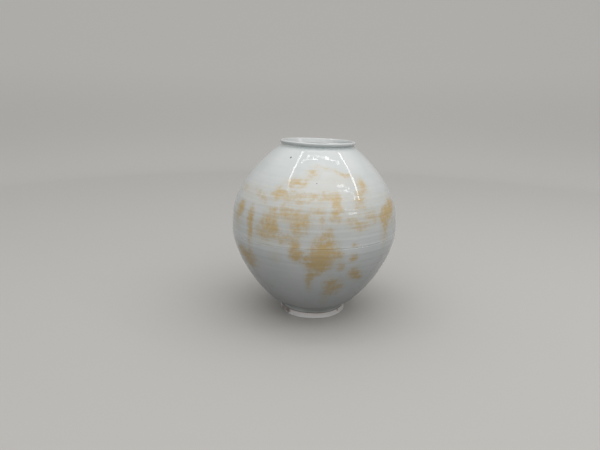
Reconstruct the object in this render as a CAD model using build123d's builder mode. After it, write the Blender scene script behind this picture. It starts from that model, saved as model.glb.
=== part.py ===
from build123d import *
from math import atan2, cos, hypot, radians, sin, tan
import os

# Round porcelain storage jar, made of two thrown bowls that are joined at the belly.
# Lengths are millimetres and angles are degrees. +Z is up, +X is to the right seen from the
# front, and the origin is the middle of the face that the foot stands on.

# Ball of the jar
belly_radius = 212.5
seam_height = 226.0
shoulder_rise = 213.4  # from the seam to the upper bowl's mouth, along that bowl's own axis
lean_angle = 1.36  # the upper bowl slumped this far towards +X in drying and firing

# Walls of the two bowls
floor_wall = 12.5
lower_wall = 8.2
seam_wall = 8.0
upper_wall = 6.4
shoulder_wall = 7.8

# Foot
foot_waist_radius = 84.0
foot_waist_hollow = 0.9
foot_wall = 13.0  # from the waist in to the bore, where it stands
foot_bore_taper = 1.5  # the bore is this much narrower at its top
foot_height = 29.8
foot_bevel = 2.4
foot_inner_round = 2.0
foot_band_stand = 2.4  # the bare band stands out from the waist by this much
foot_band_height = 13.2
foot_band_lean = 1.2  # the bare band leans in by this much from its foot to its top
foot_groove_depth = 2.2  # turned into the wall where the glaze stops
foot_groove_width = 2.6
foot_band_round = 0.8
foot_chip_radius = 8.0
foot_chip_depth = 2.4
foot_chip_height = 1.0
foot_chip_angle = 220.0  # round the foot from +X, front left

# Slip layers, fired hard
foot_slip_wall = 1.2
belly_slip_wall = 1.6
belly_slip_bead = 1.4  # squeezed out on the inside, where no tool reaches
collar_slip_wall = 1.0

# Groove and tongue of the belly joint
tongue_depth = 3.2
tongue_half_width = 2.5

# Underside of the bowl, inside the foot
base_sag = 8.5

# Mouth collar
neck_radius = 91.6
neck_rise = 0.77  # upright part of the collar, below the roll of the lip
lip_stand = 3.8  # the lip stands out from the neck by this much
lip_roll_radius = 5.0
lip_under_angle = 50.0  # the roll runs on below its widest line to this angle
lip_inner_round = 6.0  # height of the rounded inner side of the lip
mouth_land = 3.0  # upright wall at the edge of the upper bowl's mouth

# Cuts run past what they cut by this much
overrun = 5.0

# Outlines: share of the way out to the belly, share of the rise
lower_outline_shares = ((0.158, 0.028), (0.342, 0.129), (0.738, 0.490), (0.954, 0.824))
upper_outline_shares = ((0.952, 0.300), (0.720, 0.581), (0.404, 0.801))
foot_turn_share = 0.15  # slope with which the wall leaves the foot
shoulder_slope_share = 0.70  # slope with which the wall meets the neck

# Places that follow from the sizes above
bowl_seat = foot_height + foot_slip_wall
lower_rim = seam_height - belly_slip_wall / 2
upper_rim = seam_height + belly_slip_wall / 2
lower_rise = lower_rim - bowl_seat
base_height = bowl_seat - base_sag
foot_radius = foot_waist_radius + foot_band_stand
foot_bore_radius = foot_waist_radius - foot_wall
foot_bore_top_radius = foot_bore_radius - foot_bore_taper
rim_middle_radius = belly_radius - seam_wall / 2
mouth_radius = neck_radius - shoulder_wall
lip_radius = neck_radius + lip_stand
collar_seat = shoulder_rise + collar_slip_wall
crest_rise = collar_seat + neck_rise + lip_roll_radius * (1 + sin(radians(lip_under_angle)))

# The upper bowl and the collar turn about an axis that leans at the seam.
lean_direction = (sin(radians(lean_angle)), 0, cos(radians(lean_angle)))
lean_axis = Axis((0, 0, seam_height), lean_direction)
lean_plane = Plane(
    origin=(0, 0, seam_height),
    x_dir=(cos(radians(lean_angle)), 0, -sin(radians(lean_angle))),
    z_dir=(0, -1, 0),
)
lean_drop = belly_radius * tan(radians(lean_angle)) + belly_slip_wall + overrun


def lower_point(radius_share, rise_share):
    """A point of the lower bowl's outside, between the foot's waist and the belly."""
    radius = foot_waist_radius + radius_share * (belly_radius - foot_waist_radius)
    return radius, bowl_seat + rise_share * lower_rise


def upper_point(radius_share, rise_share):
    """A point of the upper bowl's outside, between the neck and the belly."""
    radius = neck_radius + radius_share * (belly_radius - neck_radius)
    return radius, rise_share * shoulder_rise


def inside(point, middle_height, wall):
    """The point one wall inside an outline point, towards the middle of the jar."""
    radius, height = point
    angle = atan2(height - middle_height, radius)
    reach = hypot(height - middle_height, radius) - wall
    return reach * cos(angle), middle_height + reach * sin(angle)


# Foot ring: bare band, turned groove where the glaze stops, and a hollow waist above it.
with BuildPart() as foot_ring:
    with BuildSketch(Plane.XZ):
        with BuildLine():
            band_top = (foot_radius - foot_band_lean, foot_band_height)
            groove_bottom = (
                foot_waist_radius - foot_groove_depth,
                foot_band_height + foot_groove_width / 2,
            )
            waist_low = (foot_waist_radius, foot_band_height + foot_groove_width)
            waist_middle = (
                foot_waist_radius - foot_waist_hollow,
                (foot_band_height + foot_groove_width + foot_height) / 2,
            )
            Polyline((foot_bore_radius, 0), (foot_radius, 0), band_top, groove_bottom, waist_low)
            ThreePointArc(waist_low, waist_middle, (foot_waist_radius, foot_height))
            Polyline(
                (foot_waist_radius, foot_height),
                (foot_bore_top_radius, foot_height),
                (foot_bore_radius, 0),
            )
        make_face()
    revolve(axis=Axis.Z)
    standing_edges = foot_ring.edges().group_by(Axis.Z)[0].sort_by(SortBy.RADIUS)
    chamfer(standing_edges[-1], length=foot_bevel)
    standing_edges = foot_ring.edges().group_by(Axis.Z)[0].sort_by(SortBy.RADIUS)
    fillet(standing_edges[0], radius=foot_inner_round)
    band_edges = foot_ring.edges().filter_by_position(
        Axis.Z, foot_band_height - foot_band_round, foot_band_height + foot_band_round
    )
    fillet(band_edges, radius=foot_band_round)
    chip_distance = foot_radius + foot_chip_radius - foot_chip_depth
    chip_place = (
        chip_distance * cos(radians(foot_chip_angle)),
        chip_distance * sin(radians(foot_chip_angle)),
        foot_chip_height,
    )
    with Locations(chip_place):
        Sphere(radius=foot_chip_radius, mode=Mode.SUBTRACT)
foot_ring.part.label = "foot_ring"

# Slip between the foot and the seat of the bowl.
with BuildPart() as foot_slip:
    with BuildSketch(Plane.XY.offset(foot_height)):
        Circle(foot_waist_radius)
        Circle(foot_bore_top_radius, mode=Mode.SUBTRACT)
    extrude(amount=foot_slip_wall)
foot_slip.part.label = "foot_slip"

# Lower bowl: flat seat for the foot, sagging base inside it, and a V groove in the rim.
with BuildPart() as lower_bowl:
    with BuildSketch(Plane.XZ):
        with BuildLine():
            outline = [lower_point(*shares) for shares in lower_outline_shares]
            seat = (foot_waist_radius, bowl_seat)
            outer_rim = (belly_radius, lower_rim)
            inner_rim = (belly_radius - seam_wall, lower_rim)
            floor = (0, base_height + floor_wall)
            leaving = ((1, foot_turn_share), (0, 1))
            Spline(seat, *outline, outer_rim, tangents=leaving, tangent_scalars=(1, 1))
            Line(outer_rim, inner_rim)
            Spline(
                inner_rim,
                inside(outline[-1], seam_height, (lower_wall + seam_wall) / 2),
                inside(outline[-2], seam_height, lower_wall),
                inside(outline[1], seam_height, (lower_wall + floor_wall) / 2),
                floor,
                tangents=((0, -1), (-1, 0)),
                tangent_scalars=(1, 1),
            )
            Line(floor, (0, base_height))
            TangentArc((0, base_height), (foot_bore_top_radius, bowl_seat), tangent=(1, 0))
            Line((foot_bore_top_radius, bowl_seat), seat)
        make_face()
    revolve(axis=Axis.Z)
    with BuildSketch(Plane.XZ):
        with BuildLine():
            Polyline(
                (rim_middle_radius - tongue_half_width, lower_rim),
                (rim_middle_radius, lower_rim - tongue_depth),
                (rim_middle_radius + tongue_half_width, lower_rim),
                close=True,
            )
        make_face()
    revolve(axis=Axis.Z, mode=Mode.SUBTRACT)
lower_bowl.part.label = "lower_bowl"

# Slip of the belly joint: it follows the groove below and the tongue above, and a bead of it
# stands out on the inside.
with BuildPart() as belly_slip:
    with BuildSketch(Plane.XZ):
        with BuildLine():
            inner_radius = belly_radius - seam_wall
            Polyline(
                (inner_radius, lower_rim),
                (rim_middle_radius - tongue_half_width, lower_rim),
                (rim_middle_radius, lower_rim - tongue_depth),
                (rim_middle_radius + tongue_half_width, lower_rim),
                (belly_radius, lower_rim),
                (belly_radius, upper_rim),
                (rim_middle_radius + tongue_half_width, upper_rim),
                (rim_middle_radius, upper_rim - tongue_depth),
                (rim_middle_radius - tongue_half_width, upper_rim),
                (inner_radius, upper_rim),
            )
            ThreePointArc(
                (inner_radius, upper_rim),
                (inner_radius - belly_slip_bead, seam_height),
                (inner_radius, lower_rim),
            )
        make_face()
    revolve(axis=Axis.Z)
belly_slip.part.label = "belly_slip"

# Upper bowl: thrown apart, turned over and set on the lower one. It leans, so its lower end is
# made too long and cut off level at the joint, and its V tongue stands upright like the groove.
with BuildPart() as upper_bowl:
    with BuildSketch(lean_plane):
        with BuildLine():
            outline = [upper_point(*shares) for shares in upper_outline_shares]
            outer_belly = (belly_radius, 0)
            inner_belly = (belly_radius - seam_wall, 0)
            outer_mouth = (neck_radius, shoulder_rise)
            land_bottom = (mouth_radius, shoulder_rise - mouth_land)
            Spline(
                outer_belly,
                *outline,
                outer_mouth,
                tangents=((0, 1), (-1, shoulder_slope_share)),
                tangent_scalars=(1, 1),
            )
            Polyline(outer_mouth, (mouth_radius, shoulder_rise), land_bottom)
            Spline(
                land_bottom,
                inside(outline[2], 0, upper_wall),
                inside(outline[1], 0, upper_wall),
                inside(outline[0], 0, (upper_wall + seam_wall) / 2),
                inner_belly,
                tangents=((1, -shoulder_slope_share), (0, -1)),
                tangent_scalars=(1, 1),
            )
            Polyline(
                inner_belly,
                (belly_radius - seam_wall, -lean_drop),
                (belly_radius, -lean_drop),
                outer_belly,
            )
        make_face()
    revolve(axis=lean_axis)
    split(bisect_by=Plane.XY.offset(upper_rim), keep=Keep.TOP)
    with BuildSketch(Plane.XZ):
        with BuildLine():
            Polyline(
                (rim_middle_radius - tongue_half_width, upper_rim),
                (rim_middle_radius, upper_rim - tongue_depth),
                (rim_middle_radius + tongue_half_width, upper_rim),
                close=True,
            )
        make_face()
    revolve(axis=Axis.Z)
upper_bowl.part.label = "upper_bowl"

# Slip between the shoulder and the mouth collar.
with BuildPart() as collar_slip:
    with BuildSketch(lean_plane):
        with BuildLine():
            Polyline(
                (mouth_radius, shoulder_rise),
                (neck_radius, shoulder_rise),
                (neck_radius, collar_seat),
                (mouth_radius, collar_seat),
                close=True,
            )
        make_face()
    revolve(axis=lean_axis)
collar_slip.part.label = "collar_slip"

# Mouth collar: a low neck that rolls out into a round lip.
with BuildPart() as mouth_collar:
    with BuildSketch(lean_plane):
        with BuildLine():
            roll_middle = (lip_radius - lip_roll_radius, crest_rise - lip_roll_radius)
            roll = CenterArc(
                roll_middle, lip_roll_radius, -lip_under_angle, lip_under_angle + 90
            )
            inner_middle = (lip_radius - lip_roll_radius, crest_rise - lip_inner_round)
            inner_side = EllipticalCenterArc(
                inner_middle,
                lip_radius - lip_roll_radius - mouth_radius,
                lip_inner_round,
                start_angle=90,
                arc_size=90,
            )
            Polyline(
                inner_side @ 1,
                (mouth_radius, collar_seat),
                (neck_radius, collar_seat),
                roll @ 0,
            )
        make_face()
    revolve(axis=lean_axis)
mouth_collar.part.label = "mouth_collar"

pieces = (foot_ring, foot_slip, lower_bowl, belly_slip, upper_bowl, collar_slip, mouth_collar)
os.makedirs("parts", exist_ok=True)
for piece in pieces:
    export_step(piece.part, f"parts/{piece.part.label}.step")
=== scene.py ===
"""Looks of a round porcelain storage jar, thrown as two bowls and joined at its belly.

Each piece is turned from an outline, as the potter's wheel turns it, then pushed a little out of
true, and meets its neighbours in the joints of the solid model. Outlines are in millimetres and the
finished meshes in metres. +Z is up, +X is to the right seen from the front, and the origin is the
middle of the face that the foot stands on.
"""

import logging
from dataclasses import dataclass, field
from enum import Enum
from math import atan2, ceil, cos, hypot, pi, radians, sin, tan
from typing import Any

import bpy
import numpy as np
from mathutils import Matrix, Vector


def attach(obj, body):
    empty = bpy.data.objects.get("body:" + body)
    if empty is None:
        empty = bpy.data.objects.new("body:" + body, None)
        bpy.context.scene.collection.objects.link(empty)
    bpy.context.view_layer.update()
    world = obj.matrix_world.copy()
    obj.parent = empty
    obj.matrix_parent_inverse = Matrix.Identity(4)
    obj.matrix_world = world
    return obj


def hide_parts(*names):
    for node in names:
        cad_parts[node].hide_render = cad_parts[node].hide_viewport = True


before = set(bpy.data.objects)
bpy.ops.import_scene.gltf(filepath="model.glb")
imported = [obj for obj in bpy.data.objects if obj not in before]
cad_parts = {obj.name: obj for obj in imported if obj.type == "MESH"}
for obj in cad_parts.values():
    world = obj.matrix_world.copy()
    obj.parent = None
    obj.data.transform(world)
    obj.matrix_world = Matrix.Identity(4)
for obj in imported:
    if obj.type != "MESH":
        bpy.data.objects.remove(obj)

log = logging.getLogger("moon_jar")
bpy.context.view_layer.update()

MM = 0.001
# radius and height
Point = tuple[float, float]
# radius, height and the radius that rounds the corner
Corner = tuple[float, float, float]
# X, Y and Z
Spot = tuple[float, float, float]
# where something starts and where it is complete
Span = tuple[float, float]
# height, count round a ring, and phase
Wave = tuple[float, int, float]
Socket = bpy.types.NodeSocket
# colour, roughness and relief of a finish
Coat = tuple[Socket, Socket, Socket]


# Lines and rings


def even_steps(line: np.ndarray, step: float) -> np.ndarray:
    """Walks along a line in even steps.

    Args:
        line: rows of radius and height, close together.
        step: longest step, in millimetres.

    Returns:
        Rows of radius and height, from the line's first point to its last.
    """
    run = np.concatenate([[0.0], np.cumsum(np.hypot(*np.diff(line, axis=0).T))])
    stops = np.linspace(0.0, run[-1], max(2, ceil(run[-1] / step) + 1))
    return np.column_stack([np.interp(stops, run, line[:, axis]) for axis in (0, 1)])


def drawn_curve(points: list[Point], leaving: Point, arriving: Point, step: float) -> np.ndarray:
    """Draws a smooth curve through points, with neither a kink nor a jump of its bend.

    Args:
        points: radius and height of each point.
        leaving: direction at the first point.
        arriving: direction at the last point.
        step: longest step of the result, in millimetres.

    Returns:
        Rows of radius and height in even steps.
    """
    place = np.array(points, dtype=float)
    gap = np.hypot(*np.diff(place, axis=0).T)
    count = len(place)
    system, goal = np.eye(count), np.zeros((count, 2))
    goal[0] = np.array(leaving) / hypot(*leaving)
    goal[-1] = np.array(arriving) / hypot(*arriving)
    for i in range(1, count - 1):
        before, after = gap[i - 1], gap[i]
        system[i, i - 1 : i + 2] = 1 / before, 2 / before + 2 / after, 1 / after
        goal[i] = 3 * (place[i] - place[i - 1]) / before**2 + 3 * (place[i + 1] - place[i]) / after**2
    slope = np.linalg.solve(system, goal)
    t = np.linspace(0.0, 1.0, 60)[:, None]
    pieces = [
        (2 * t**3 - 3 * t**2 + 1) * place[i]
        + (t**3 - 2 * t**2 + t) * gap[i] * slope[i]
        + (3 * t**2 - 2 * t**3) * place[i + 1]
        + (t**3 - t**2) * gap[i] * slope[i + 1]
        for i in range(count - 1)
    ]
    return even_steps(np.concatenate(pieces), step)


def rounded_line(corners: list[Corner], step: float) -> np.ndarray:
    """Joins corners by straight runs and rounds each corner by its own radius.

    Args:
        corners: radius, height and rounding radius of each corner.
        step: longest step of the result, in millimetres.

    Returns:
        Rows of radius and height in even steps.
    """
    line = [np.array(corners[0][:2])]
    for before, here, after in zip(corners, corners[1:], corners[2:]):
        spot = np.array(here[:2])
        back, ahead = np.array(before[:2]) - spot, np.array(after[:2]) - spot
        back_run, ahead_run = hypot(*back), hypot(*ahead)
        back, ahead = back / back_run, ahead / ahead_run
        half = np.arccos(np.clip(back @ ahead, -1, 1)) / 2
        if here[2] <= 0 or half > pi / 2 - 0.01:
            line.append(spot)
            continue
        cut = min(here[2] / tan(half), 0.49 * back_run, 0.49 * ahead_run)
        start, end = spot + back * cut, spot + ahead * cut
        for t in np.linspace(0, 1, 9):
            line.append((1 - t) ** 2 * start + 2 * t * (1 - t) * spot + t**2 * end)
    line.append(np.array(corners[-1][:2]))
    return even_steps(np.array(line), step)


def chain(*lines: np.ndarray) -> np.ndarray:
    """Joins lines end to end, leaving out points that repeat.

    Args:
        lines: rows of radius and height.

    Returns:
        The rows of all the lines.
    """
    whole = np.concatenate(lines)
    keep = np.concatenate([[True], np.hypot(*np.diff(whole, axis=0).T) > 1e-4])
    return whole[keep]


def soft_step(value: np.ndarray, low: float, high: float) -> np.ndarray:
    """0 below low, 1 above high, and a soft rise between."""
    t = np.clip((value - low) / (high - low), 0.0, 1.0)
    return t * t * (3 - 2 * t)


def waves(angle: np.ndarray, *parts: Wave) -> np.ndarray:
    """Adds up waves round a ring, each with its height, its count and its phase."""
    return sum(height * np.sin(count * angle + phase) for height, count, phase in parts)


class Closing(Enum):
    """How the rings of a turned piece close."""

    LOOP = "the outline comes back to its start, as in a ring"
    POLES = "the outline starts and ends at the axis, as in a bowl"
    DISC = "the outline ends near the axis in a flat face, as in a floor"
    SHEET = "the outline stays open at both ends, as in a wall"


@dataclass(frozen=True)
class Wheel:
    """Turns outlines into rings of points, and rings into meshes."""

    segments: int = 320

    def azimuths(self) -> np.ndarray:
        """The angle of each point of a ring, from +X towards +Y."""
        return np.linspace(0.0, 2 * pi, self.segments, endpoint=False)

    def turn(self, outline: np.ndarray) -> np.ndarray:
        """Carries an outline round the axis.

        Args:
            outline: rows of radius and height.

        Returns:
            An array of rings, points in a ring, and X, Y, Z.
        """
        angle = self.azimuths()
        radius, height = outline[:, :1], outline[:, 1:]
        return np.stack([radius * np.cos(angle), radius * np.sin(angle), height + 0 * angle], axis=-1)

    def mesh(self, name: str, rings: np.ndarray, closing: Closing) -> bpy.types.Object:
        """Skins rings with quads and closes them.

        Args:
            name: name of the new piece.
            rings: rings of points in millimetres.
            closing: how the first and last ring close.

        Returns:
            The new object, in metres, linked to the scene.
        """
        count, around = rings.shape[:2]
        number = np.arange(count * around).reshape(count, around)
        if closing is Closing.LOOP:
            lower, upper = number, np.roll(number, -1, axis=0)
        else:
            lower, upper = number[:-1], number[1:]
        quads = np.stack(
            [lower, np.roll(lower, -1, axis=1), np.roll(upper, -1, axis=1), upper], axis=-1
        ).reshape(-1, 4)
        points = rings.reshape(-1, 3)
        faces = quads.tolist()
        if closing is Closing.POLES:
            points = np.vstack([points, rings[0].mean(axis=0), rings[-1].mean(axis=0)])
            first, last = count * around, count * around + 1
            for j in range(around):
                k = (j + 1) % around
                faces.append((first, int(number[0, k]), int(number[0, j])))
                faces.append((last, int(number[-1, j]), int(number[-1, k])))
        if closing is Closing.DISC:
            faces.append(number[-1].tolist())
        data = bpy.data.meshes.new(name)
        data.from_pydata((points * MM).tolist(), [], faces)
        data.validate()
        data.shade_smooth()
        piece = bpy.data.objects.new(name, data)
        bpy.context.scene.collection.objects.link(piece)
        return piece


# Sizes of the jar


@dataclass(frozen=True)
class JarSizes:
    """The jar's sizes, in millimetres and degrees, as the solid model has them."""

    belly_radius: float = 212.5
    seam_height: float = 226.0
    shoulder_rise: float = 213.4
    lean_angle: float = 1.36
    floor_wall: float = 12.5
    lower_wall: float = 8.2
    seam_wall: float = 8.0
    upper_wall: float = 6.4
    shoulder_wall: float = 7.8
    foot_waist_radius: float = 84.0
    foot_wall: float = 13.0
    foot_bore_taper: float = 1.5
    foot_height: float = 29.8
    foot_slip_wall: float = 1.2
    belly_slip_wall: float = 1.6
    collar_slip_wall: float = 1.0
    tongue_depth: float = 3.2
    tongue_half_width: float = 2.5
    base_sag: float = 8.5
    neck_radius: float = 91.6
    mouth_land: float = 5.5
    lower_outline: tuple[Point, ...] = ((0.158, 0.028), (0.342, 0.129), (0.738, 0.490), (0.954, 0.824))
    upper_outline: tuple[Point, ...] = ((0.952, 0.300), (0.720, 0.581), (0.404, 0.801))
    foot_turn: float = 0.15
    shoulder_slope: float = 0.70

    @property
    def bowl_seat(self) -> float:
        """Height at which the lower bowl sits on the foot."""
        return self.foot_height + self.foot_slip_wall

    @property
    def lower_rim(self) -> float:
        """Height of the lower bowl's rim."""
        return self.seam_height - self.belly_slip_wall / 2

    @property
    def upper_rim(self) -> float:
        """Height of the upper bowl's rim."""
        return self.seam_height + self.belly_slip_wall / 2

    @property
    def base_height(self) -> float:
        """Lowest point of the base inside the foot."""
        return self.bowl_seat - self.base_sag

    @property
    def bore_radius(self) -> float:
        """Radius of the hollow in the foot, where it stands."""
        return self.foot_waist_radius - self.foot_wall

    @property
    def bore_top_radius(self) -> float:
        """Radius of the hollow in the foot, under the base."""
        return self.bore_radius - self.foot_bore_taper

    @property
    def rim_middle(self) -> float:
        """Radius of the tongue and groove in the belly joint."""
        return self.belly_radius - self.seam_wall / 2

    @property
    def rim_inside(self) -> float:
        """Inner radius of both bowls at the belly joint."""
        return self.belly_radius - self.seam_wall

    @property
    def mouth_radius(self) -> float:
        """Inner radius of the mouth."""
        return self.neck_radius - self.shoulder_wall

    @property
    def collar_seat(self) -> float:
        """Rise from the seam to the mouth collar, along the upper bowl's axis."""
        return self.shoulder_rise + self.collar_slip_wall

    def lower_point(self, share: Point) -> Point:
        """Finds a point of the lower bowl's outside.

        Args:
            share: its shares of the bowl's width and rise.

        Returns:
            Its radius and height.
        """
        width = self.belly_radius - self.foot_waist_radius
        rise = self.lower_rim - self.bowl_seat
        return self.foot_waist_radius + share[0] * width, self.bowl_seat + share[1] * rise

    def upper_point(self, share: Point) -> Point:
        """A point of the upper bowl's outside, by radius and rise, from its shares of both."""
        width = self.belly_radius - self.neck_radius
        return self.neck_radius + share[0] * width, share[1] * self.shoulder_rise

    def vee(self, height: float) -> list[Corner]:
        """Draws the V in a rim, which is a groove or a tongue.

        Args:
            height: the rim's height.

        Returns:
            Its corners, from outside to inside.
        """
        half = self.tongue_half_width
        return [
            (self.rim_middle + half, height, 0.0),
            (self.rim_middle, height - self.tongue_depth, 0.0),
            (self.rim_middle - half, height, 0.0),
        ]

    def inside(self, point: Point, middle: float, wall: float) -> Point:
        """Finds the point of the inside that lies behind a point of the outside.

        Args:
            point: the point of the outside.
            middle: height of the jar's middle.
            wall: thickness of the wall there.

        Returns:
            Its radius and height.
        """
        angle = atan2(point[1] - middle, point[0])
        reach = hypot(point[1] - middle, point[0]) - wall
        return reach * cos(angle), middle + reach * sin(angle)


@dataclass(frozen=True)
class ThrownWall:
    """How far the thrown, joined and fired wall strays from a true round, in millimetres."""

    sizes: JarSizes
    oval: float = 0.55
    three_sided: float = 0.30
    twist: float = 95.0
    dents: float = 0.22
    dent_twist: float = 38.0
    dent_height: float = 27.0
    finger_rings: float = 0.10
    ring_gap: float = 17.0
    fine_ring_gap: float = 9.3
    seam_ridge: float = 0.55
    seam_reach: float = 2.6
    loose_top: float = 500.0
    loose_radius: Span = (60.0, 120.0)
    seam_band: float = 3.0

    def swell(self, points: np.ndarray) -> np.ndarray:
        """How far each point moves outwards.

        Args:
            points: any array whose last axis is X, Y, Z.

        Returns:
            An array of distances without that last axis.
        """
        x, y, z = points[..., 0], points[..., 1], points[..., 2]
        angle, radius = np.arctan2(y, x), np.hypot(x, y)
        share = (z - self.sizes.bowl_seat) / (self.loose_top - self.sizes.bowl_seat)
        free = np.sin(pi * np.clip(share, 0.0, 1.0))
        dented = np.sin(z / self.dent_height + 2 * angle)
        slow = (
            self.oval * np.cos(2 * angle - 1.2)
            + self.three_sided * np.cos(3 * angle + z / self.twist)
            + self.dents * np.sin(5 * angle + z / self.dent_twist) * dented
        )
        turns = z + self.ring_gap * angle / (2 * pi)
        fine = np.sin(2 * pi * turns / self.fine_ring_gap + np.sin(3 * angle))
        rings = self.finger_rings * (np.sin(2 * pi * turns / self.ring_gap) + 0.6 * fine)
        # the slip was smoothed by hand, so its ridge comes and goes
        uneven = 0.62 + 0.25 * np.sin(3 * angle + 1.0) + 0.18 * np.sin(11 * angle) * np.sin(4 * angle)
        near = np.exp(-(((z - self.sizes.seam_height) / self.seam_reach) ** 2))
        ridge = self.seam_ridge * near * uneven
        wall = soft_step(radius, *self.loose_radius)
        return free * wall * (slow + rings) + ridge * (radius > self.sizes.belly_radius - self.seam_band)

    def shape(self, rings: np.ndarray) -> np.ndarray:
        """Moves every point of a piece out by its swell, away from the axis.

        Args:
            rings: the piece's rings.

        Returns:
            The rings as thrown by hand.
        """
        radius = np.maximum(np.hypot(rings[..., 0], rings[..., 1]), 1e-6)
        grown = 1 + self.swell(rings) / radius
        return np.stack([rings[..., 0] * grown, rings[..., 1] * grown, rings[..., 2]], axis=-1)

    def lean(self, rings: np.ndarray) -> np.ndarray:
        """Tips rings that were made upright above the seam towards +X.

        Args:
            rings: points whose Z is the rise above the seam.

        Returns:
            The points in the jar's own place.
        """
        c, s = cos(radians(self.sizes.lean_angle)), sin(radians(self.sizes.lean_angle))
        x, y, rise = rings[..., 0], rings[..., 1], rings[..., 2]
        return np.stack([x * c + rise * s, y, self.sizes.seam_height - x * s + rise * c], axis=-1)


# Nodes and colours


def linear(colour: str) -> tuple[float, float, float, float]:
    """Turns an sRGB hex colour into linear light.

    Args:
        colour: such as "#e1e6e7".

    Returns:
        Red, green, blue and a full alpha.
    """
    parts = [int(colour[i : i + 2], 16) / 255 for i in (1, 3, 5)]
    red, green, blue = (p / 12.92 if p <= 0.04045 else ((p + 0.055) / 1.055) ** 2.4 for p in parts)
    return red, green, blue, 1.0


def add(
    tree: bpy.types.NodeTree,
    kind: str,
    settings: dict[str, Any] | None = None,
    inputs: dict[int | str, Any] | None = None,
) -> bpy.types.Node:
    """Adds a node with its settings and links.

    Args:
        tree: the node tree that gets it.
        kind: the node's type.
        settings: its properties by name.
        inputs: for each input, by name or number, a value or the socket that feeds it.

    Returns:
        The new node.
    """
    node = tree.nodes.new(kind)
    for name, value in (settings or {}).items():
        setattr(node, name, value)
    for name, value in (inputs or {}).items():
        if isinstance(value, Socket):
            tree.links.new(value, node.inputs[name])
        else:
            node.inputs[name].default_value = value
    return node


@dataclass(frozen=True)
class Nodes:
    """A node tree, with a short way to add each kind of node that the finishes share."""

    tree: bpy.types.NodeTree

    def math(self, operation: str, *values: Any) -> Socket:
        """Works on numbers, given in order."""
        settings = {"operation": operation}
        return add(self.tree, "ShaderNodeMath", settings, dict(enumerate(values))).outputs[0]

    def vector(self, operation: str, *values: Any) -> Socket:
        """Works on vectors, given in order; a length and a dot product come out as a number."""
        node = add(self.tree, "ShaderNodeVectorMath", {"operation": operation}, dict(enumerate(values)))
        return node.outputs["Value" if operation in ("LENGTH", "DOT_PRODUCT") else "Vector"]

    def ramp(
        self,
        value: Socket,
        start: float,
        end: float,
        low: Any = 0.0,
        high: Any = 1.0,
        soft: bool = True,
        clamp: bool = True,
    ) -> Socket:
        """Carries a value over from one range to another.

        Args:
            value: the socket that carries it.
            start: where the result is low.
            end: where the result is high.
            low: the result at the start.
            high: the result at the end.
            soft: eases in and out, and does not run straight.
            clamp: stops at the ends of the range.

        Returns:
            The socket that carries the result.
        """
        settings = {"interpolation_type": "SMOOTHSTEP" if soft else "LINEAR", "clamp": clamp}
        inputs = {"Value": value, "From Min": start, "From Max": end, "To Min": low, "To Max": high}
        return add(self.tree, "ShaderNodeMapRange", settings, inputs).outputs["Result"]

    def mix(self, share: Socket, first: Socket | str, second: Socket | str) -> Socket:
        """Mixes two colours.

        Args:
            share: how much of the second colour there is.
            first: a colour as a socket or as hex text.
            second: the same.

        Returns:
            The socket that carries the mix.
        """
        shades = [linear(shade) if isinstance(shade, str) else shade for shade in (first, second)]
        inputs = {0: share, 6: shades[0], 7: shades[1]}
        return add(self.tree, "ShaderNodeMix", {"data_type": "RGBA"}, inputs).outputs[2]

    def blend(self, share: Socket, first: Any, second: Any) -> Socket:
        """Mixes two numbers; a share of 1 is all of the second."""
        inputs = {0: share, 2: first, 3: second}
        return add(self.tree, "ShaderNodeMix", {"data_type": "FLOAT"}, inputs).outputs[0]

    def noise(
        self, where: Socket, wave: float, detail: float, roughness: float, output: str = "Fac"
    ) -> Socket:
        """Adds a cloudy pattern.

        Args:
            where: the place on the jar, in metres.
            wave: width of its largest clouds, in millimetres.
            detail: how many times finer clouds are added.
            roughness: how strong the finer clouds are.
            output: the name of the socket that is wanted.

        Returns:
            The socket that carries the pattern.
        """
        inputs = {"Vector": where, "Scale": 1 / (wave * MM), "Detail": detail, "Roughness": roughness}
        return add(self.tree, "ShaderNodeTexNoise", {}, inputs).outputs[output]

    def axes(self, where: Socket) -> Any:
        """The sockets that carry X, Y and Z of a place, by name."""
        return add(self.tree, "ShaderNodeSeparateXYZ", {}, {0: where}).outputs

    def reach(self, where: Socket) -> Socket:
        """The distance of a place from the upright axis."""
        return self.vector("LENGTH", self.vector("MULTIPLY", where, (1.0, 1.0, 0.0)))


def new_finish(name: str) -> tuple[bpy.types.Material, Nodes, bpy.types.Node, Socket]:
    """Makes a material.

    Args:
        name: the material's name.

    Returns:
        The material, its nodes, its shader, and the socket that carries the place, in metres.
    """
    made = bpy.data.materials.new(name)
    made.use_nodes = True
    where = add(made.node_tree, "ShaderNodeTexCoord").outputs["Object"]
    return made, Nodes(made.node_tree), made.node_tree.nodes["Principled BSDF"], where


# Finishes


@dataclass(frozen=True)
class Mark:
    """A stain or a spot on the wall, in millimetres, and in degrees from the front towards +X."""

    azimuth: float
    height: float
    half_width: float
    half_height: float
    depth: float = 1.0
    tilt: float = 0.0


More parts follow.
